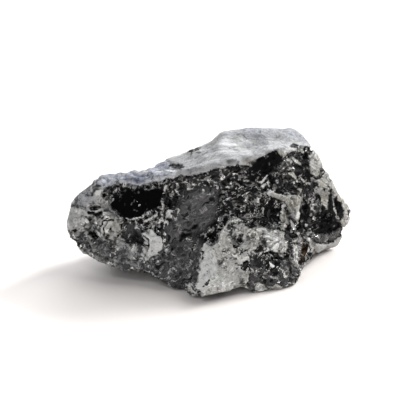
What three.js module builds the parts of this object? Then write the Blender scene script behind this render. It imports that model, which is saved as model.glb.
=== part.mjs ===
// A rough piece of labradorite with black hornblende, broken from a vein.
//
// The stone is one solid. It is written as a distance field, in millimetres:
// convex lumps are blended together, bites and hollows are taken out of them,
// and scallops and grain roughen what is left. A net of triangles is laid over
// the field's zero level. +Z is up, and the origin is the middle of the base.

import * as THREE from "three";
import { ConvexHull } from "three/addons/math/ConvexHull.js";
import { ImprovedNoise } from "three/addons/math/ImprovedNoise.js";

const CELL = 1.14; // edge of a net cell
const BLEND = 1.1; // how softly lumps and hollows run into the rest
const BITE_BLEND = 0.7; // and bites
const JOINED = -0.02; // the depth given to a grid corner that is filled in
const EVENNESS = 0.5; // how far the net's points are evened out, from 0 to 1
const REACH = 0.25; // half the span over which the field's slope is taken
const LEAST_STEEP = 0.5; // the gentlest squared slope that a step divides by
const DRIFT = 0.25; // the farthest a point settles in one step
const SETTLING_STEPS = 3;
const FLAT = 0.02; // a point this close to the base plane is put on it
const BOX = { low: [-31, -19, -3], high: [31, 19, 30] };

// Corners of the convex lumps.
const LUMPS = {
  block: [
    [-20.4, 3.2, 17.6], [-22.6, 1.5, 16.7], [-25.4, 0.5, 14.8], [-27.3, -0.5, 12.7],
    [-27.7, -1.5, 9.6], [-27.1, -3.2, 6.4], [-25.3, -4, 4.5], [-25, 4, 9],
    [-18.9, -3, 18.6], [-13.5, -4.6, 18.9], [-8.6, -5.5, 21], [-1.8, -6.5, 23.1],
    [5, -5.6, 24.6], [13.5, -2.6, 25.5], [19.7, 3, 23.8], [-18.6, -7.4, 2.9],
    [-16.6, -8.4, 2.7], [-13, -9, 3.4], [-8, -10.2, 3], [-3.8, -12.6, -0.4],
    [0, -12.8, -1], [12, -10.6, -1], [17, -8.6, 0.5], [20, -1.6, 3.6],
    [-12, -0.6, 0], [-8.2, 9.4, 20.4], [2.8, 11.4, 24.6], [10.3, 12.2, 24.7],
    [17.9, 10.4, 24.4], [21.4, 4, 20.6], [24.4, 4, 14], [23, 9, 12],
    [22, 7, -1], [12, 12.6, -1], [12, 14, 8], [-20, 7.5, 6],
    [-8, 13, 8], [4, 13.6, 4], [-13, 7, -1], [-4, 12, -1],
  ],
  lobe: [
    [4.8, -9.4, 13.8], [2, -10.2, 11.6], [-1.2, -11.4, 9.2], [-2.2, -13, 5.5],
    [-4.9, -14.9, 1.1], [-2.6, -16, 1.1], [-0.6, -16.2, 1.1], [1, -15.2, 1.1],
    [2.4, -14, 1.2], [4, -12.6, 1.2], [-2.4, -12.8, -0.8], [1.4, -12.6, -0.8],
    [6.6, -12.2, 1.2], [9, -12, 8], [7.6, -9.8, 12], [14.6, -8.2, 11],
    [17.4, -8, 8], [18.8, -7.2, 2.8], [17.7, -9.2, 0.8], [15.2, -11.4, -0.4],
    [12, -11.8, -0.6], [8.8, -12, 0.6], [0, -6, 0], [14, -4, 0],
    [4.6, -6.5, 14.8], [13, -5.5, 12.8],
  ],
  shoulder: [
    [24.4, 4, 13.6], [28.4, 7, 8.8], [28.2, 8, 7.2], [27.8, 8, 5.4],
    [26.1, 8, 1.3], [24.5, 7.6, 0.2], [22.6, 6.2, 0.1], [20.3, 4.4, 0.2],
    [18.6, -4.4, 9.4], [22.4, -0.8, 13], [20, -1.6, 4.6], [24.6, 2.6, 6.4],
    [18, 9, 0.4], [24.4, 11, 3], [25.4, 11, 8], [22, 11, 12],
  ],
};

// Bites: each takes away what lies on its floor, out to the open side.
const BITES = {
  backSlope: {
    floor: [
      [-21, 2.4, 17.8], [-21, 14, 12], [-12.7, -1.6, 19.2], [-12.7, 9, 18.5],
      [-8.2, -3.6, 20], [-8.2, 9.6, 19.9], [-2.8, -4.6, 22.3], [-2.8, 10.6, 21.4],
      [0.8, -3.4, 23.6], [0.8, 11.8, 21.9], [0.8, 18, 20.8],
    ],
    out: [9, 3, 12],
  },
  darkFacet: {
    floor: [
      [-19.2, -1.6, 14.6], [-18.2, -1.6, 16.4], [-15.9, -2.2, 17.8], [-9, -4, 18.6],
      [-9.4, -5.6, 15.4], [-12.3, -6.3, 13.6], [-15.4, -6, 12.1], [-17, -5, 12],
      [-18.6, -3.4, 13],
    ],
    out: [-1, -7, 0.6],
  },
  greyPlane: {
    floor: [
      [-8.6, -5.6, 18.6], [-5.6, -5.6, 20.8], [1.8, -6.2, 21.4],
      [1.8, -9.6, 10.8], [-1.8, -10.4, 7.6], [-7.6, -8.8, 8],
    ],
    out: [-3, -8, 2],
  },
  backCleavage: {
    floor: [
      [6, 12.4, 22], [19, 10.6, 22], [21, 9.4, 15], [17, 11.6, 7],
      [8, 12.2, 9], [4, 12.2, 16],
    ],
    out: [3, 8, 1],
  },
  backStep: {
    floor: [
      [-17, 8.6, 13], [-6, 11.2, 14], [-5, 12, 6], [-9, 11.2, 4], [-16, 8, 5.4],
    ],
    out: [-2, 8, -1],
  },
  cornerFacet: {
    floor: [
      [7.2, -4.6, 21.6], [10.3, -3, 23.8], [13.3, -1.6, 25.2],
      [14.4, -1.4, 23.4], [10.6, -4, 21.4], [7.6, -5.2, 20],
    ],
    out: [2, -6, 1],
  },
  underCut: {
    floor: [
      [-16, -12, 4.4], [-14.4, -12, 4.6], [-12.3, -12, 4.2], [-10.9, -12, 3.4],
      [-9.4, -12, 2.3], [-7.1, -12, 0.9], [-5.6, -13, 0.8], [-16, -2, 0],
      [-14.4, -2, 0.2], [-12.3, -2, -0.3], [-10.9, -2, -1.1], [-9.4, -2, -2.2],
      [-7.1, -2, -3.5], [-5.6, -2, -4.1],
    ],
    out: [0, -3, -6],
  },
};

// Hollows: an ellipsoid's middle, its half axes, and its turn about Z in degrees.
const HOLLOWS = {
  lobeNotch: { at: [6, -14.2, -0.6], half: [2.3, 4.4, 2.8], turn: 10 },
  lobePit: { at: [5.7, -11.7, 10.2], half: [1.6, 1.6, 1.3], turn: 0 },
  endPit: { at: [-22.4, -4.9, 9], half: [1.4, 1.7, 1.8], turn: -20 },
  topScoop: { at: [7, 3.4, 32], half: [15, 6.2, 9], turn: 12 },
};

// Scallops: shallow bowls that meet at ridges, one in each cell of a jittered grid.
const SCALLOPS = [
  { size: 7.5, tilt: 0.13, bowl: 0.12, seed: 3 },
  { size: 3.2, tilt: 0.12, bowl: 0.11, seed: 11 },
];
const GRAIN = { size: 2.3, height: 0.14 };

const noise = new ImprovedNoise();

// The planes of a convex lump, each as a unit normal and an offset.
function planesOf(corners) {
  const points = corners.map((c) => new THREE.Vector3(...c));
  const hull = new ConvexHull().setFromPoints(points);
  return hull.faces.map((f) => ({ n: f.normal.toArray(), d: f.constant }));
}

function insideDistance(planes, p) {
  let most = -Infinity;
  for (const { n, d } of planes) {
    most = Math.max(most, n[0] * p[0] + n[1] * p[1] + n[2] * p[2] - d);
  }
  return most;
}

function hollowDistance(hollow, p) {
  const a = THREE.MathUtils.degToRad(hollow.turn);
  const x = p[0] - hollow.at[0];
  const y = p[1] - hollow.at[1];
  const q = [
    (x * Math.cos(a) + y * Math.sin(a)) / hollow.half[0],
    (y * Math.cos(a) - x * Math.sin(a)) / hollow.half[1],
    (p[2] - hollow.at[2]) / hollow.half[2],
  ];
  return (Math.hypot(...q) - 1) * Math.min(...hollow.half);
}

// The lesser of two distances, rounded where they are alike.
function blendMin(a, b, radius) {
  const h = Math.max(radius - Math.abs(a - b), 0) / radius;
  return Math.min(a, b) - (h * h * radius) / 4;
}

// A repeatable number from 0 to 1 for a grid cell.
function random(i, j, k, seed) {
  const s = Math.sin(i * 127.1 + j * 311.7 + k * 74.7 + seed * 53.3) * 43758.5453;
  return s - Math.floor(s);
}

// How far the scallops lift the surface at p. Each cell's bowl has its own tilt,
// and the lowest bowl is the one that shows, so they meet at sharp ridges.
function scallopLift({ size, tilt, bowl, seed }, p) {
  const g = p.map((v) => v / size);
  const c = g.map(Math.floor);
  let lowest = Infinity;
  for (let i = c[0] - 1; i <= c[0] + 1; i++) {
    for (let j = c[1] - 1; j <= c[1] + 1; j++) {
      for (let k = c[2] - 1; k <= c[2] + 1; k++) {
        let height = 0;
        [i, j, k].forEach((cell, axis) => {
          const from = g[axis] - cell - random(i, j, k, seed + axis);
          const slope = 2 * tilt * (random(i, j, k, seed + 3 + axis) - 0.5);
          height += slope * from + bowl * from * from;
        });
        lowest = Math.min(lowest, height);
      }
    }
  }
  return lowest * size;
}

const lumps = Object.values(LUMPS).map(planesOf);
const bites = Object.values(BITES).map(({ floor, out }) =>
  planesOf([...floor, ...floor.map((c) => c.map((v, axis) => v + out[axis]))]),
);
const hollows = Object.values(HOLLOWS);

function distance(p) {
  let d = Infinity;
  for (const planes of lumps) d = blendMin(d, insideDistance(planes, p), BLEND);
  for (const planes of bites) d = -blendMin(-d, insideDistance(planes, p), BITE_BLEND);
  for (const hollow of hollows) d = -blendMin(-d, hollowDistance(hollow, p), BLEND);
  for (const scallop of SCALLOPS) d -= scallopLift(scallop, p);
  const q = p.map((v) => v / GRAIN.size);
  d -= GRAIN.height * noise.noise(...q);
  return Math.max(d, -p[2]);
}

// Samples of the field on a grid, with the step from a sample to the next one
// along each axis.
function sampleField(field, { low, high }, cell) {
  const count = low.map((v, i) => Math.ceil((high[i] - v) / cell) + 1);
  const step = [1, count[0], count[0] * count[1]];
  const values = new Float64Array(count[0] * count[1] * count[2]);
  let at = 0;
  for (let k = 0; k < count[2]; k++)
    for (let j = 0; j < count[1]; j++)
      for (let i = 0; i < count[0]; i++)
        values[at++] = field([low[0] + i * cell, low[1] + j * cell, low[2] + k * cell]);
  return { values, count, step };
}

// Fills in where solid corners meet only across a grid square's diagonal, so
// that no edge of the surface belongs to more than two faces.
function joinDiagonals({ values, step }) {
  let changed = true;
  while (changed) {
    changed = false;
    for (let at = 0; at < values.length - step[2] - step[1]; at++)
      for (let axis = 0; axis < 3; axis++) {
        const u = step[(axis + 1) % 3];
        const w = step[(axis + 2) % 3];
        const ring = [at, at + u, at + u + w, at + w];
        const [a, b, c, d] = ring.map((n) => values[n] < 0);
        if (a !== c || b !== d || a === b) continue;
        const open = ring.filter((n) => values[n] >= 0);
        const nearest = values[open[0]] < values[open[1]] ? open[0] : open[1];
        values[nearest] = JOINED;
        changed = true;
      }
  }
}

// The surface where the field is zero, as a closed mesh: one vertex in each
// cell that the surface crosses, and one quad round each crossed grid edge.
function surfaceNet(field, box, cell) {
  const samples = sampleField(field, box, cell);
  joinDiagonals(samples);
  const { values, count, step } = samples;
  const place = (i, j, k) => i * step[0] + j * step[1] + k * step[2];
  const corners = [0, 1, 2, 3, 4, 5, 6, 7].map((c) => [c & 1, (c >> 1) & 1, (c >> 2) & 1]);
  const edges = [];
  for (let a = 0; a < 8; a++)
    for (const bit of [1, 2, 4]) if (!(a & bit)) edges.push([a, a | bit]);

  const vertexOf = new Map();
  const points = [];
  for (let k = 0; k < count[2] - 1; k++)
    for (let j = 0; j < count[1] - 1; j++)
      for (let i = 0; i < count[0] - 1; i++) {
        const v = corners.map(([a, b, c]) => values[place(i + a, j + b, k + c)]);
        const sum = [0, 0, 0];
        let crossed = 0;
        for (const [a, b] of edges) {
          if (v[a] < 0 === v[b] < 0) continue;
          const t = v[a] / (v[a] - v[b]);
          for (let n = 0; n < 3; n++) sum[n] += corners[a][n] + t * (corners[b][n] - corners[a][n]);
          crossed++;
        }
        if (!crossed) continue;
        vertexOf.set(place(i, j, k), points.length);
        points.push([i, j, k].map((g, n) => box.low[n] + cell * (g + sum[n] / crossed)));
      }

  const triangles = [];
  for (let k = 1; k < count[2] - 1; k++)
    for (let j = 1; j < count[1] - 1; j++)
      for (let i = 1; i < count[0] - 1; i++)
        for (let axis = 0; axis < 3; axis++) {
          const at = place(i, j, k);
          const inside = values[at] < 0;
          if (inside === values[at + step[axis]] < 0) continue;
          const u = step[(axis + 1) % 3];
          const w = step[(axis + 2) % 3];
          const ring = [at, at - u, at - u - w, at - w].map((n) => vertexOf.get(n));
          if (!inside) ring.reverse();
          triangles.push(ring[0], ring[1], ring[2], ring[0], ring[2], ring[3]);
        }
  return { points, triangles };
}

// Evens out a net: each point goes part of the way to the middle of its
// neighbours, but stays in the plane of the base if that is where it lies.
function relax({ points, triangles }) {
  const sums = points.map(() => [0, 0, 0, 0]);
  for (let t = 0; t < triangles.length; t += 3)
    for (let side = 0; side < 3; side++) {
      const a = triangles[t + side];
      const b = points[triangles[t + ((side + 1) % 3)]];
      for (let n = 0; n < 3; n++) sums[a][n] += b[n];
      sums[a][3]++;
    }
  return points.map((p, at) => {
    const count = sums[at][3];
    const even = p.map((v, n) => v + EVENNESS * (sums[at][n] / count - v));
    return Math.abs(p[2]) < FLAT ? [even[0], even[1], p[2]] : even;
  });
}

// Moves a point onto the surface, down the field's slope.
function settle(field, point) {
  const p = [...point];
  for (let step = 0; step < SETTLING_STEPS; step++) {
    const slope = [0, 1, 2].map((n) => {
      const a = [...p];
      const b = [...p];
      a[n] -= REACH;
      b[n] += REACH;
      return (field(b) - field(a)) / (2 * REACH);
    });
    const steep = Math.max(slope.reduce((sum, v) => sum + v * v, 0), LEAST_STEEP);
    const move = THREE.MathUtils.clamp(field(p) / steep, -DRIFT, DRIFT);
    for (let n = 0; n < 3; n++) p[n] -= slope[n] * move;
  }
  if (p[2] < FLAT) p[2] = 0;
  return p;
}

function stoneGeometry() {
  const net = surfaceNet(distance, BOX, CELL);
  const even = relax({ points: relax(net), triangles: net.triangles });
  const settled = even.map((p) => settle(distance, p));
  const geometry = new THREE.BufferGeometry();
  geometry.setAttribute("position", new THREE.Float32BufferAttribute(settled.flat(), 3));
  geometry.setIndex(net.triangles);
  geometry.computeBoundingBox();
  const middle = geometry.boundingBox.getCenter(new THREE.Vector3());
  return geometry.translate(-middle.x, -middle.y, 0);
}

function stone() {
  const material = new THREE.MeshStandardMaterial({ color: 0x6d6f72, roughness: 0.5, metalness: 0 });
  const mesh = new THREE.Mesh(stoneGeometry(), material);
  mesh.name = "raw_stone";
  return mesh;
}

const part = new THREE.Group();
part.add(stone());
export default part;
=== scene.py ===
# Looks for a rough piece of labradorite with black hornblende through it.
# The stone is one dense mesh. Its relief and its minerals are worked out point
# by point: from named outlines on the near side, and from noise all round.

import math
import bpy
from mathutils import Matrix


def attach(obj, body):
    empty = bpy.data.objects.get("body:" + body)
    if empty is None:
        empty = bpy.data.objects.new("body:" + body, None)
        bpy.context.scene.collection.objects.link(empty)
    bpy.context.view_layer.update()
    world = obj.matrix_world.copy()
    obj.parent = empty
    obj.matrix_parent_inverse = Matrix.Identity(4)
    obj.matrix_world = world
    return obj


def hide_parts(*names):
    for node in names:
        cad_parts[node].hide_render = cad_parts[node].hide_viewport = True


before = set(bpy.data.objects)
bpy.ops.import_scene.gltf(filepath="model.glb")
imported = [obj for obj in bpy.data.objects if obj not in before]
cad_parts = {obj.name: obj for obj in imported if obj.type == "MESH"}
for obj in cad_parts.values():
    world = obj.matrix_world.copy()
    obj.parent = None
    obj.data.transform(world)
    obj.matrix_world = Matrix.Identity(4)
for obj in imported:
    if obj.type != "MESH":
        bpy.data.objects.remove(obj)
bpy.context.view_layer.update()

from types import SimpleNamespace

import bmesh
import bpy
import numpy as np
from mathutils import Vector

mm = 0.001

# The view. The outlines further down are drawn in its steps, from its top left corner.
viewOf = {
    "target": (-0.562, 1.115, 12.21),  # mm, what the middle of the view looks at
    "elevation": 24.0,  # degrees above the table
    "distance": 420.0,  # mm
    "stepSize": 0.195,  # mm across one step of the view, at the target
    "steps": 416,  # steps across the view and down it
    "sensorWidth": 36.0,  # mm
    "clip": (0.01, 20.0),  # metres
}
tilt = math.radians(viewOf["elevation"])
wayBack = np.array([0.0, -math.cos(tilt), math.sin(tilt)])  # from the target to the eye
wayUp = np.array([0.0, math.sin(tilt), math.cos(tilt)])


def makeCamera():
    data = bpy.data.cameras.new("viewCamera")
    data.sensor_width = viewOf["sensorWidth"]
    data.lens = data.sensor_width * viewOf["distance"] / (viewOf["steps"] * viewOf["stepSize"])
    data.clip_start, data.clip_end = viewOf["clip"]
    camera = bpy.data.objects.new("viewCamera", data)
    camera.location = Vector(np.array(viewOf["target"]) + wayBack * viewOf["distance"]) * mm
    camera.rotation_euler = (math.radians(90 - viewOf["elevation"]), 0, 0)
    bpy.context.scene.collection.objects.link(camera)
    bpy.context.scene.camera = camera


def stepsOf(points):  # columns and rows of the view for points in mm
    fromTarget = points - np.array(viewOf["target"])
    depth = viewOf["distance"] - fromTarget @ wayBack
    scale = viewOf["distance"] / depth / viewOf["stepSize"]
    half = viewOf["steps"] / 2
    return np.stack([half + fromTarget[:, 0] * scale, half - (fromTarget @ wayUp) * scale], 1)


# Noise. Every kind gives the same numbers on each run, from its seed alone.
scatter = (73856093, 19349663, 83492791, 2654435761)  # odd numbers that keep grid cells apart


def scramble(cell, seed):  # a repeatable whole number for each grid cell
    n = seed * scatter[3]
    for axis in range(3):
        n = n ^ cell[:, axis] * scatter[axis]
    for _ in range(2):
        n &= 0xFFFFFFFF
        n = (n ^ (n >> 16)) * 0x45D9F3B
    n &= 0xFFFFFFFF
    return n ^ (n >> 16)


def threeOf(n):  # three numbers from -1 to 1 out of each whole number
    return np.stack([(n >> shift & 1023) / 511.5 - 1 for shift in (0, 10, 20)], 1)


def softNoise(points, size, seed):  # about -1 to 1
    place = points / size
    cell = np.floor(place).astype(np.int64)
    part = place - cell
    ease = part**3 * (part * (part * 6 - 15) + 10)
    total = np.zeros(len(points))
    for corner in np.ndindex(2, 2, 2):
        slope = threeOf(scramble(cell + corner, seed))
        share = np.prod(np.where(corner, ease, 1 - ease), axis=1)
        total += share * np.einsum("ij,ij->i", slope, part - corner)
    return total * 1.5


def roughNoise(points, size, seed, octaves=3, fade=0.55):
    total, height = np.zeros(len(points)), 1.0
    for octave in range(octaves):
        total += height * softNoise(points, size / 2**octave, seed + 17 * octave)
        height *= fade
    return total


def crests(points, size, seed, octaves=3):  # narrow curved crests near 1, with hollows between them
    total, height, whole = np.zeros(len(points)), 1.0, 0.0
    for octave in range(octaves):
        line = 1 - np.minimum(1, 2.2 * np.abs(softNoise(points, size / 2**octave, seed + 13 * octave)))
        total += height * line * line
        whole += height
        height *= 0.5
    return total / whole


def facets(points, looks, seed):  # shallow tilted bowls that meet at ridges, and a tone for each
    place = points / looks["size"]
    cell = np.floor(place).astype(np.int64)
    lowest = np.full(len(points), 1e9)
    tone = np.zeros(len(points))
    for corner in np.ndindex(3, 3, 3):
        here = cell + corner - 1
        number = scramble(here, seed)
        away = place - here - 0.5 - 0.5 * threeOf(number)
        slope = looks["slant"] * threeOf(scramble(here, seed + 1))
        height = np.einsum("ij,ij->i", slope, away) + looks["bowl"] * np.einsum("ij,ij->i", away, away)
        nearer = height < lowest
        lowest = np.where(nearer, height, lowest)
        tone = np.where(nearer, (number >> 3 & 255) / 255, tone)
    return lowest * looks["size"], tone


def treads(points, looks, seed):  # flat treads with short steep risers between them
    level = looks["count"] * roughNoise(points, looks["size"], seed, 2)
    whole = np.floor(level)
    return (whole + eased(level - whole, 1 - looks["riser"], 1)) / looks["count"]


def bent(points, reach, size, seed):  # points carried about by slow noise
    return points + reach * np.stack([softNoise(points, size, seed + axis) for axis in range(3)], 1)


def drawnAlong(points, way, squeeze):  # turned and squeezed, so that noise is drawn out one way
    along, up = way
    return points @ np.array([[along, 0.0, up], [0.0, 1.0, 0.0], [-up, 0.0, along]]) * squeeze


def evenly(values):  # spread out so that every value from 0 to 1 is as common
    rank = np.empty(len(values))
    rank[np.argsort(values)] = np.linspace(0, 1, len(values))
    return rank


def eased(values, low, high):  # from 0 at low to 1 at high, slow at both ends
    t = np.clip((values - low) / (high - low), 0, 1)
    return t * t * (3 - 2 * t)


# Outlines and lines. Their edges wander, so that no mineral ends in a drawn line.
edgeLooks = {
    "soft": 1.5,  # steps over which a patch fades, unless it has its own
    "lineSoft": 0.9,  # steps over which a line fades
    "lineReach": 2.4,  # steps beyond a line that its ragged edge may go
    "wander": dict(size=1.4, reach=0.9),  # size in mm, reach in steps
    "fineWander": dict(size=0.55, reach=0.72),
    "ragged": dict(size=0.9, reach=0.9),  # the same for the width of lines
    "fineRagged": dict(size=0.35, reach=0.7),
    "gapSize": 0.5,  # mm, for the gaps in broken lines
    "gapEdge": 0.15,
}


def gapTo(start, end, at):  # steps from a straight piece of line
    (x, y), (fromX, fromY) = end - start, (at - start).T
    along = np.clip((fromX * x + fromY * y) / (x * x + y * y), 0, 1)
    return np.hypot(fromX - along * x, fromY - along * y)


def insideOf(outline, at):  # steps inside a closed outline, less than 0 outside it
    nearest = np.full(len(at), 1e9)
    inside = np.zeros(len(at), bool)
    for start, end in zip(outline, np.roll(outline, -1, axis=0)):
        nearest = np.minimum(nearest, gapTo(start, end, at))
        if start[1] == end[1]:
            continue
        crosses = (start[1] > at[:, 1]) != (end[1] > at[:, 1])
        level = (at[:, 1] - start[1]) / (end[1] - start[1])
        inside ^= crosses & (at[:, 0] < start[0] + level * (end[0] - start[0]))
    return np.where(inside, nearest, -nearest)


def besideOf(line, at):  # steps from an open line
    return np.min([gapTo(start, end, at) for start, end in zip(line[:-1], line[1:])], axis=0)


def shareOf(looks, at, ragged, broken):  # 0 outside an outline or line, 1 inside it
    isPatch = "outline" in looks
    corners = np.array(looks["outline"] if isPatch else looks["path"], float)
    soft, half = looks.get("soft", edgeLooks["soft"]), looks.get("width", 0) * 0.5
    reach = max(soft, half + edgeLooks["lineReach"])
    close = np.all((at > corners.min(axis=0) - reach) & (at < corners.max(axis=0) + reach), axis=1)
    share = np.zeros(len(at))
    if isPatch:
        share[close] = eased(insideOf(corners, at[close]), -soft, soft)
    else:
        gap = besideOf(corners, at[close]) + looks.get("ragged", 1.0) * ragged[close]
        whole = 1 - looks.get("broken", 0.0) * broken[close]
        share[close] = whole * (1 - eased(gap, half, half + edgeLooks["lineSoft"]))
    return share


# What several patches and lines have in common.
shard = dict(dark=1.4, matteSheen=0.0, soft=0.6, gloss=0.9, crystal=0.1, streak=0.0, fleckAndGlint=0.0)
finger = dict(dark=1.6, smoky=0.0, soft=0.8, gloss=0.6, streak=0.0, fleckAndGlint=0.0)
tanArc = dict(tan=0.8, pale=0.45, dark=-0.1, smoky=0.0, soft=0.9)
hairline = dict(dark=1.1, smoky=0.1, width=0.5, lift=-0.05)


def paintedGlint(pale, width, *path):  # a short painted highlight: a bright line in the colour
    return dict(dark=-0.5, pale=pale, width=width, path=list(path))
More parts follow.
